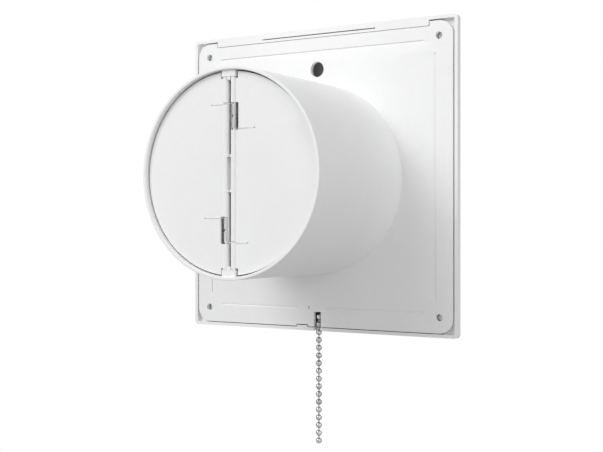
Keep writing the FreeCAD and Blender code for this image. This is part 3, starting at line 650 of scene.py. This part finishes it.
print("plate", len(plate.data.polygons), "faces after its cuts")

# %% Lines round the plate
line_inner, line_outer, line_deep, line_end = 66.9, 68.35, 0.5, 61.6
line_break_left, line_break_right = -12.2, 3.8


def groove(start, end, degrees):
    """Cuts a line along one edge of the plate. Its floor slopes down outward to a small step."""
    piece = block("cut", start, end, -line_deep, 1, line_inner, line_outer)
    trim(piece, (0, 0, line_inner), (0, line_inner - line_outer, -line_deep))
    work_with(plate, [turned(piece, degrees)], "DIFFERENCE")


for degrees in (0, 90, 270):
    groove(-line_end, line_end, degrees)
groove(-line_end, line_break_left, 180)
groove(line_break_right, line_end, 180)
soften(plate, 0.15)
print("plate", len(plate.data.polygons), "faces with softened edges")

# %% Rib round the wiring space
rib_half, rib_front, rib_rear, rib_wall, rib_gap = 66, -10.3, -2.3, 1.6, 3.2
rib = block("rib", -rib_half, rib_half, rib_front, rib_rear, -rib_half, rib_half)
round_corners(rib, plate_corner, 8)
pick(rib, "FACE", lambda f: abs(f.normal.y) > 0.9)
bpy.ops.mesh.delete(type="FACE")
done()
finish_with(rib, "SOLIDIFY", thickness=rib_wall * mm, offset=-1.0)
work_with(rib, [block("cut", -rib_gap, rib_gap, -12, 0, -68, -62)], "DIFFERENCE")
soften(rib, 0.2)
plate = together("base_plate", [plate, rib])
hang(plate, "housing", "white_plastic", "fan_housing")

# %% [markdown]
# Front frame
# The cover that the room sees is a shallow square tray with a sloped shoulder. Its slab is extruded once
# more and shrunk to make the shoulder, and a smaller copy of the same form is cut out to leave the wall.
# The ledge with its slot runs along the top edge, a tab fills the notch at the bottom, a three-cornered
# post in each corner carries the plate, and a round peg stands behind each of the plate's screw holes.

# %% Sloped square slab
def sloped_slab(name, half, edge_front, front, front_half, corner):
    """A slab with a straight edge down to edge_front and a slope from there to its front face."""
    piece = block(name, -half, half, edge_front, 0, -half, half)
    round_corners(piece, corner, 6)
    pick(piece, "FACE", lambda f: f.normal.y < -0.9)
    push(0, (front - edge_front) * mm, 0)
    share = front_half / half
    bpy.ops.transform.resize(value=(share, 1, share), center_override=(0, 0, 0))
    done()
    return piece


opening_radius = 46.5
cover = sloped_slab("front_cover", half=80.0, edge_front=-3.5, front=-14.5, front_half=69.0, corner=2.0)
hollow = sloped_slab("hollow", half=78.3, edge_front=-2.8, front=-12.8, front_half=68.3, corner=0.6)
pick(hollow, "FACE", lambda f: f.normal.y > 0.9)
push(0, 1.0 * mm, 0)
done()
slice_at(cover, 0, (-40, 0, 40))
slice_at(cover, 2, (-40, 0, 40))
work_with(cover, [hollow, round_bar("cut", opening_radius, -20, -10, large_round)], "DIFFERENCE")
print("cover", len(cover.data.polygons), "faces after its cuts")

# %% Ledge, posts, pegs and tab
in_wall = 79.15
ledge_half, ledge_front, ledge_rear, ledge_low = 64.5, -2.2, -0.01, 75.37
ledge_slot_half, ledge_slot_low, ledge_slot_high = 34.5, 76.67, 77.27
post_near, post_far, post_front = 70.15, 82.65, -13.6
peg_radius, peg_front, peg_rear = 1.6, -11.4, -2.7
tab_left, tab_right, tab_front, tab_rear, tab_high = 6.1, 12.3, -2.4, -0.05, -77.3
ledge = block("ledge", -ledge_half, ledge_half, ledge_front, ledge_rear, ledge_low, in_wall)
slice_at(ledge, 0, (0,))
slot = block("cut", -ledge_slot_half, ledge_slot_half, -3, 1, ledge_slot_low, ledge_slot_high)
work_with(ledge, [slot], "DIFFERENCE")
post = block("post", post_near, in_wall, post_front, -plate_thick, post_near, in_wall)
trim(post, (post_near, 0, in_wall), (-1, 0, -1))
trim(post, (post_far, 0, 0), (1, -1, 0))
trim(post, (0, 0, post_far), (0, -1, 1))
posts = [turned(copy_of(post, "post"), 90 * quarter) for quarter in range(4)]
bpy.data.objects.remove(post)
pegs = [round_bar("peg", peg_radius, peg_front, peg_rear, 32, x=x, z=z) for x, z in screw_places]
tab = block("tab", tab_left, tab_right, tab_front, tab_rear, -in_wall, tab_high)
work_with(cover, [ledge, tab] + posts + pegs, "UNION")
work_with(cover, [block("cut", -chain_slot, chain_slot, -4.2, 1, -82, -71.6)], "DIFFERENCE")
soften(cover, 0.25)
hang(cover, "housing", "white_plastic", "front_frame")

# %% [markdown]
# Inlet grille
# Behind the round opening in the cover lie level slats in a ring, with two uprights that keep them apart.
# One slat is a block with rounded edges; the others are like it, shortened to the ring.

# %% Grille
grille_radius, grille_rear, slat_half, slat_pitch, slat_front = 46.4, -11.6, 0.8, 7.6, -14.0
upright_x, upright_front, upright_rear = 18.0, -13.6, -11.7
hold = grille_radius - slat_half


def reach_at(offset):
    """How far a bar at an offset from the middle reaches before it meets the ring."""
    return math.sqrt(hold ** 2 - (abs(offset) + slat_half) ** 2)


ring = tube("grille_ring", grille_radius, 2 * slat_half, -14.5, grille_rear, 0.3)
flange = tube("grille_flange", grille_radius + 1.6, 2.4, -12.8, grille_rear, 0.2)
bars = []
for row in range(-5, 6):
    z = row * slat_pitch
    reach = reach_at(z)
    slat = block("slat", -reach, reach, slat_front, grille_rear, z - slat_half, z + slat_half)
    bars.append(soften(slat, 0.35, 3))
for x in (-upright_x, upright_x):
    reach = reach_at(x)
    upright = block("upright", x - slat_half, x + slat_half, upright_front, upright_rear, -reach, reach)
    bars.append(soften(upright, 0.3))
grille = together("inlet_grille_slats", [ring, flange] + bars)
hang(grille, "housing", "white_plastic", "inlet_grille")

# %% [markdown]
# Shutter leaves
# Each leaf is a half disc with a barrel along its straight edge that turns on a pin. It starts as a full
# disc, which is cut in half with bisect, grown by the barrel and two stiffening ribs, and cut for the
# spring and for the pivot blocks. A thin wall of the barrel stays beside the spring. Two round nibs close
# the slit between the barrels, and a shelf backs it between them. The second leaf is the same moulding
# turned half round.

# %% Leaf
leaf_radius, leaf_front, leaf_rear = 47.5, 79.25, 80.45
barrel_x, pin_y, barrel_radius, barrel_end = 2.3, 79.6, 1.7, 44.85
coil_low, coil_high = -32.3, -20.8
stiffener_end, stiffener_half = 38.0, 0.6
shelf_front, shelf_rear, shelf_half = 77.95, 78.4, 7.6
nib_radius, nib_half, nib_height, nib_rear = 2.2, 0.6, 8.2, 81.2
leaf = round_bar("leaf_left", leaf_radius, leaf_front, leaf_rear, large_round)
trim(leaf, (barrel_x, 0, 0), (-1, 0, 0))
slice_at(leaf, 2, (coil_high, 0, -coil_low))
additions = [block("rib", barrel_x, stiffener_end, leaf_front - 1.4, leaf_front + 0.4,
                   z - stiffener_half, z + stiffener_half) for z in (-15, 15)]
additions.append(round_bar("barrel", barrel_radius, -barrel_end, barrel_end, 40, "Z", x=barrel_x, y=pin_y))
additions.append(block("shelf", 0.1, barrel_x, shelf_front, shelf_rear, -shelf_half, shelf_half))
for z in (-nib_height, nib_height):
    nib = round_bar("nib", nib_radius, z - nib_half, z + nib_half, 40, "Z", x=barrel_x, y=pin_y)
    trim(nib, (barrel_x, 0, 0), (1, 0, 0))
    additions.append(trim(nib, (0, nib_rear, 0), (0, 1, 0)))
work_with(leaf, additions, "UNION")
print("leaf", len(leaf.data.polygons), "faces before its cuts")

# %% Cuts in the leaf
through_front, through_rear, above_pin = 74, 84, pin_y + 3
notch_end, notch_half, relief_start, relief_height, relief_half = 4.8, 4, 3.4, 46, 1.8
window_low, window_high, window_start, window_end = -32.9, -20.2, 1.0, 5.05
near_hole, far_hole, leg_hole, leg_hole_front, pin_hole = 14.0, 10.2, 0.32, 76, 0.85
shelf_room = (-1, 1.1, shelf_rear, through_rear, -shelf_half, shelf_half)
coil_room = (window_start, window_end, pin_y - 2.1, above_pin, window_low, window_high)
own_leg_room = (-1, 1.2, pin_y, above_pin, window_low, -31.7)
other_leg_room = (-1, 4.6, pin_y + 0.95, above_pin, 31.6, 33.0)
cuts = [block("cut", *shelf_room)]
for side in (1, -1):
    notch = side * (barrel_end + notch_half)
    relief = side * relief_height
    cuts.append(block("cut", -1, notch_end, through_front, through_rear,
                      notch - notch_half, notch + notch_half))
    cuts.append(block("cut", relief_start, notch_end, through_front, through_rear,
                      relief - relief_half, relief + relief_half))
cuts += [block("cut", *room) for room in (coil_room, own_leg_room, other_leg_room)]
for x, z in ((near_hole, coil_high), (far_hole, -coil_low)):
    cuts.append(round_bar("cut", leg_hole, leg_hole_front, through_rear, 20, x=x, z=z))
cuts.append(round_bar("cut", pin_hole, -50, 50, 32, "Z", x=barrel_x, y=pin_y))
work_with(leaf, cuts, "DIFFERENCE")
soften(leaf, 0.12)
leaf_right = turned(copy_of(leaf, "leaf_right"), 180)
hang(leaf, "flap_left", "white_plastic", "flap_left")
hang(leaf_right, "flap_right", "white_plastic", "flap_right")

# %% [markdown]
# Hinge pins
# Two ground pins run the height of the shutter. Each is a bar with its ends chamfered so that it slides
# home.

# %% Pins
pin_radius, pin_end = 0.8, 47.75
pin = soften(round_bar("pin_left", pin_radius, -pin_end, pin_end, 32, "Z", x=barrel_x, y=pin_y), 0.2)
pin_right = turned(copy_of(pin, "pin_right"), 180)
hang(pin, "housing", "pin_steel", "hinge_pin_left")
hang(pin_right, "housing", "pin_steel", "hinge_pin_right")

# %% [markdown]
# Torsion springs
# A spring is a close coil of thin wire round the pin, with one open turn in its middle, and with one leg
# lying on each leaf, its end turned down into a small hole. The coil is a small circle carried round by
# the Screw modifier, which is how wire is wound on a mandrel, and each leg is a circle extruded along its
# way and spun down at the end. The coil and the near leg turn with one leaf.

# %% Coil
wire_sides, turn_steps = 10, 24


def coil(name, radius, wire, low, stages, x, y):
    """A wound wire about a Z axis at x, y, in stages of a rise and some turns, closed at both ends."""
    windings = []
    height = 0
    for rise, turns in stages:
        bpy.ops.object.select_all(action="DESELECT")
        bpy.ops.mesh.primitive_circle_add(vertices=wire_sides, radius=wire * mm,
                                          location=(radius * mm, 0, 0), rotation=(math.radians(90), 0, 0))
        winding = settle(bpy.context.object, name)
        steps = turn_steps * turns
        finish_with(winding, "SCREW", axis="Z", angle=2 * math.pi * turns, screw_offset=rise * mm,
                    steps=steps, render_steps=steps, iterations=1, use_merge_vertices=False)
        windings.append(moved(winding, 0, 0, height))
        height += rise
    piece = together(name, windings)
    pick(piece, "VERT", lambda v: True)
    bpy.ops.mesh.remove_doubles(threshold=0.01 * mm)
    done()
    pick(piece, "EDGE", lambda e: len(e.link_faces) == 1)
    bpy.ops.mesh.edge_face_add()
    bpy.ops.mesh.select_all(action="SELECT")
    bpy.ops.mesh.normals_make_consistent(inside=False)
    done()
    piece.data.transform(Matrix.Rotation(math.radians(90), 4, "Z"))
    return moved(piece, x, y, low)


# %% Leg
leg_bend, leg_down = 0.6, 0.5


def leg(name, wire, root, lands, hole):
    """A wire along X from the top of a coil to where it lands on a leaf, and into the hole at its end."""
    way = 1 if hole.x > root.x else -1
    bpy.ops.object.select_all(action="DESELECT")
    bpy.ops.mesh.primitive_circle_add(vertices=wire_sides, radius=wire * mm, fill_type="NGON",
                                      location=root * mm, rotation=(0, math.radians(90), 0))
    piece = settle(bpy.context.object, name)
    pick(piece, "FACE", lambda f: True)
    straight = hole - Vector((way * leg_bend, 0, 0))
    for start, end, steps in ((root, lands, 8), (lands, straight, 3)):
        for step in range(steps):
            push(*((end - start) / steps * mm))
    bend_middle = (straight - Vector((0, leg_bend, 0))) * mm
    bpy.ops.mesh.spin(steps=8, angle=math.radians(90), center=bend_middle, axis=(0, 0, -way))
    push(0, -leg_down * mm, 0)
    bpy.ops.mesh.select_all(action="SELECT")
    bpy.ops.mesh.remove_doubles(threshold=0.001 * mm)
    bpy.ops.mesh.normals_make_consistent(inside=False)
    done()
    return piece


# %% Two springs
wire, wound, leg_wire, leg_gap = 0.2, 1.1, 0.12, 0.03
windings = ((4.9, 11), (1.7, 1), (4.9, 11))
near_landing, far_landing = 12.6, 8.8
on_leaf = leaf_rear + leg_wire + leg_gap
on_coil = pin_y + wound
spring_coil = coil("spring_coil", wound, wire, coil_low, windings, barrel_x, pin_y)
near_leg = leg("near_leg", leg_wire, Vector((barrel_x, on_coil, coil_high)),
               Vector((near_landing, on_leaf, coil_high)), Vector((near_hole, on_leaf, coil_high)))
far_leg = leg("spring_lower_far_leg", leg_wire, Vector((barrel_x, on_coil, coil_low)),
              Vector((-far_landing, on_leaf, coil_low)), Vector((-far_hole, on_leaf, coil_low)))
spring = shade(together("spring_lower", [spring_coil, near_leg]))
shade(far_leg)
spring_upper = turned(copy_of(spring, "spring_upper"), 180)
far_leg_upper = turned(copy_of(far_leg, "spring_upper_far_leg"), 180)
hang(spring, "flap_left", "spring_steel", "flap_spring_lower")
hang(spring_upper, "flap_right", "spring_steel", "flap_spring_upper")

# %% Far legs
for piece, leaf_body, side in ((far_leg, "flap_right", -1), (far_leg_upper, "flap_left", 1)):
    paint_with(piece, "spring_steel")
    -side * 1.5 * mm
    side * 4.5 * mm
    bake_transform(piece)
    print(piece.name, "bends from the housing to", leaf_body)

# %% [markdown]
# Bead chain
# The pull chain is a row of hollow nickel beads on short links, each free to turn on the next. One bead
# is a ball with a small hole rolled in at each end, and one link is a thin rod; both are copied down the
# chain. The top of the chain leans out from the switch to its slot and rides with the plunger, and the
# hanging part swings below it.

# %% One bead and one link
bead_radius, bead_pitch, bead_hole_level, bead_hole = 1.6, 4.1, 1.49, (0.8, 0.8, 0.86)
link_radius, link_half = 0.38, 1.0
bpy.ops.object.select_all(action="DESELECT")
bpy.ops.mesh.primitive_uv_sphere_add(segments=28, ring_count=18, radius=bead_radius * mm)
bead = settle(bpy.context.object, "bead")
pick(bead, "FACE", lambda f: abs(f.calc_center_median().z) > bead_hole_level * mm)
push(0, 0, 0)
bpy.ops.transform.resize(value=bead_hole)
done()
shade(bead, 35.0)
link = round_bar("link", link_radius, -link_half, link_half, 16, "Z")
pick(link, "FACE", lambda f: abs(f.normal.z) > 0.9)
bpy.ops.mesh.inset(thickness=0.12 * mm)
done()
shade(link, 35.0)
print("bead", len(bead.data.polygons), "faces, link", len(link.data.polygons))


# %% Chain
def placed_along(piece, place, way):
    """Turns a piece that stands along Z to the way, and moves it to its place."""
    turn = Vector((0, 0, 1)).rotation_difference(way).to_matrix().to_4x4()
    piece.data.transform(Matrix.Translation(place * mm) @ turn)
    return piece


def strand(name, places):
    """Beads at the places with a link between each two."""
    pieces = []
    for place, other in zip(places, places[1:] + places[-2:-1]):
        way = (place - other) if other.z < place.z else (other - place)
        pieces.append(placed_along(copy_of(bead, "ball"), place, way))
    for place, other in zip(places, places[1:]):
        pieces.append(placed_along(copy_of(link, "rod"), (place + other) / 2, place - other))
    return together(name, pieces)


plunger_y, chain_y, first_bead, hanging_beads = -6.1, -1.98, -65.3, 14
beads = [Vector((0, plunger_y, first_bead))]
for lean_share in (0.43, 0.45, 0.12, 0.0):
    lean = (chain_y - plunger_y) * lean_share
    beads.append(beads[-1] + Vector((0, lean, -math.sqrt(bead_pitch ** 2 - lean ** 2))))
swing = beads[-1] - Vector((0, 0, bead_pitch))
upper = strand("chain_top", beads)
lower = strand("chain_hanging", [swing - Vector((0, 0, bead_pitch * i)) for i in range(hanging_beads)])
top_link = moved(copy_of(link, "top_link"), swing.x, swing.y, swing.z + bead_pitch / 2 + 0.1)
upper = together("chain_top", [upper, top_link])
bpy.data.objects.remove(bead)
bpy.data.objects.remove(link)
hang(upper, "pull", "chain_steel", "chain_upper")
hang(lower, "chain", "chain_steel", "chain_lower")
print("chain swings at", [round(v, 3) for v in swing])

# %% Bell that holds the first bead
bell_radius, bell_low, bell_high, bell_wall, bell_deep = 2.45, -66.1, -63.05, 0.6, 2.45
bell = round_bar("chain_bell", bell_radius, bell_low, bell_high, 32, "Z", y=plunger_y)
round_edges(bell, lambda e: all(v.co.z > (bell_high - 0.05) * mm for v in e.verts), 0.9, 5)
pick(bell, "FACE", lambda f: f.normal.z < -0.9)
bpy.ops.mesh.inset(thickness=bell_wall * mm)
push(0, 0, bell_deep * mm)
done()
hang(soften(bell, 0.12), "pull", "chain_steel", "chain_coupling")

# %% [markdown]
# Switch spring
# Inside the switch a small wound spring pushes the plunger back up. It is the same coil as before, only
# wider spaced, and it rides on the same body as the top of the chain.

# %% Switch spring
push_radius, push_wire, push_low, push_windings = 2.5, 0.25, -60.34, ((6.25, 5),)
push_spring = shade(coil("push_spring", push_radius, push_wire, push_low, push_windings, 0.0, plunger_y))
hang(push_spring, "pull", "spring_steel", "switch_spring")
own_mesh(push_spring)

# %% [markdown]
# Impeller
# The impeller is one moulding: a cup-shaped hub with a round nose and six twisted blades. A blade starts
# as a circle squeezed to a thin section and bowed a little, then is extruded from root to tip in short
# steps, each turned and widened slightly, and its tip is trimmed to the sweep of the fan. The other
# blades are copies.

# %% One blade
blade_middle, root_radius, tip_radius, overrun = 20.0, 15.2, 46.9, 48.5
root_chord, tip_chord, root_slope, tip_slope = 27.0, 32.0, 48.0, 27.0
blade_thickness, blade_bow, spans = 1.8, 2.6, 8
bpy.ops.object.select_all(action="DESELECT")
bpy.ops.mesh.primitive_circle_add(vertices=32, radius=mm, fill_type="NGON")
blade = settle(bpy.context.object, "blade")
blade.data.transform(Matrix.Diagonal((root_chord / 2, blade_thickness / 2, 1, 1)))
for place in sorted({round(v.co.x, 7) for v in blade.data.vertices}):
    bow = blade_bow * (1 - (place / (root_chord / 2 * mm)) ** 2)
    pick(blade, "VERT", lambda v: abs(v.co.x - place) < 1e-6)
    bpy.ops.transform.translate(value=(0, bow * mm, 0))
    done()
blade.data.transform(Matrix.Rotation(math.radians(root_slope), 4, "Z"))
moved(blade, 0, blade_middle, root_radius)
print("blade section", len(blade.data.vertices), "corners")

# %% Extrude and twist it
hub_front, hub_rear = 6.0, 34.0
step_out = (overrun - root_radius) / spans
step_turn = math.radians(tip_slope - root_slope) / spans
step_wide = (tip_chord / root_chord) ** (1 / spans)
middle = (0, blade_middle * mm, 0)
pick(blade, "FACE", lambda f: True)
for step in range(spans):
    push(0, 0, step_out * mm)
    bpy.ops.transform.rotate(value=-step_turn, orient_axis="Z", center_override=middle)
    bpy.ops.transform.resize(value=(step_wide, step_wide, 1), center_override=middle)
bpy.ops.mesh.select_all(action="SELECT")
bpy.ops.mesh.normals_make_consistent(inside=False)
done()
work_with(blade, [round_bar("sweep", tip_radius, hub_front, hub_rear, large_round)], "INTERSECT")
print("blade reaches", round(max(v.co.z for v in blade.data.vertices) / mm, 2), "mm")

# %% Hub and blades
hub_radius, hollow_radius, boss_radius, shaft_hole, nose = 20.0, 18.4, 4.5, 2.02, 6.0
hollow_front, boss_front, boss_rear, past_rear = 8.0, 7.0, 32.0, 40.0
hub = round_bar("impeller_moulding", hub_radius, hub_front, hub_rear, 96)
round_edges(hub, lambda e: all(v.co.y < (hub_front + 0.1) * mm for v in e.verts), nose, 10)
work_with(hub, [turned(copy_of(blade, "blade"), 60 * number) for number in range(6)], "UNION")
bpy.data.objects.remove(blade)
hollow = soften(round_bar("hollow", hollow_radius, hollow_front, past_rear, 96), 4.0, 6)
work_with(hub, [hollow], "DIFFERENCE")
work_with(hub, [round_bar("boss", boss_radius, boss_front, boss_rear, 40)], "UNION")
work_with(hub, [round_bar("cut", shaft_hole, 0.0, past_rear, 32)], "DIFFERENCE")
hang(shade(hub, 40.0), "impeller", "impeller_plastic", "impeller")

# %% [markdown]
# Screws
# The screws are slotted pan heads on plain shanks. One is turned from a bar: the head's rim is bevelled
# to a dome, the slot is cut with a block, and the shank is added behind it. It is then copied to each
# place.

# %% Slotted screws
slot_of = {part["node"]: part["material_slot"] for part in frame["record"]["subparts"]}


def slotted_screw(shank, head, height, length):
    """A screw that is driven towards +Y, with its seat at the origin."""
    piece = round_bar("screw", head, -height, 0, 32)
    round_edges(piece, lambda e: all(v.co.y < -height * mm * 0.99 for v in e.verts), height * 0.45, 4)
    slot = block("cut", -3, 3, -height - 1, -height / 2, -head / 6, head / 6)
    work_with(piece, [slot], "DIFFERENCE")
    rod = soften(round_bar("rod", shank, -height / 4, length, 24), 0.2)
    return together("screw", [shade(piece, 40.0), rod])


def drive(name, node, shank, head, height, places):
    """Copies of one screw at the places, as deep as the node that they stand for."""
    low, high = (corner[1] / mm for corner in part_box(node))
    screw = slotted_screw(shank, head, height, high - low - height)
    pieces = [moved(copy_of(screw, "copy"), x, low + height, z) for x, z in places]
    bpy.data.objects.remove(screw)
    hang(together(name, pieces), "housing", slot_of[node], node)


# %% All screws
small, motor, terminal = (1.0, 1.8, 1.2), (1.0, 2.1, 1.6), (1.5, 1.6, 1.2)
motor_places = ((0, 22.8), (19.745, -11.4), (-19.745, -11.4))
terminal_places = ((18.0, 60.17), (26.0, 60.17), (34.0, 60.17))
drive("motor_screw_set", "motor_screws", *motor, motor_places)
drive("switch_screw_pair", "switch_screws", *small, ((-8.3, -56.75), (8.3, -56.75)))
drive("clamp_screw_pair", "cable_clamp_screws", *small, ((9.0, 53.2), (9.0, 62.6)))
drive("terminal_fixing", "terminal_mount_screw", *small, ((26.0, 54.7),))
drive("terminal_screw_row", "terminal_screws", *terminal, terminal_places)

# %% [markdown]
# Parts inside the cover
# The motor, its mount, the switch and the terminals are seen only through the grille or past the open
# leaves. Their solids already have the right shape, so each gets a copy whose loose triangles are merged,
# whose flat faces are made whole again, and whose edges are rounded as the real part's are: a lot on the
# wound coils, a little on mouldings, and hardly at all on sheet steel and turned parts.

# %% Softened copies
edge_rounding = {
    "motor_mount": 0.3, "motor_cap": 0.3, "stator_windings": 1.2, "stator_core": 0.1, "rotor_core": 0.2,
    "motor_shaft": 0.3, "front_bearing": 0.3, "rear_bearing": 0.3, "thrust_washers": 0.1,
    "impeller_clip": 0.15, "terminal_block": 0.25, "cable_clamp": 0.3, "switch_body": 0.3,
    "switch_cap": 0.15, "switch_plunger": 0.2,
}
bodies = frame["record"]["behaviour"]["bodies"]
body_of = {node: body for body, members in bodies.items() for node in members}


def softened_copy(name, width):
    piece = copy_of(nodes[name], name + "_finished")
    piece.parent = None
    for key in list(piece.keys()):
        del piece[key]
    pick(piece, "FACE", lambda f: True)
    bpy.ops.mesh.remove_doubles(threshold=0.002 * mm)
    bpy.ops.mesh.dissolve_limited(angle_limit=math.radians(1.0))
    done()
    return soften(piece, width, 3 if width > 1 else 2)


for node, width in edge_rounding.items():
    hang(softened_copy(node, width), body_of[node], slot_of[node], node)
stood_for = {n for o in bpy.data.objects for n in o.get("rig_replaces", [])}
print("nodes with no piece of their own", sorted(set(nodes) - stood_for))
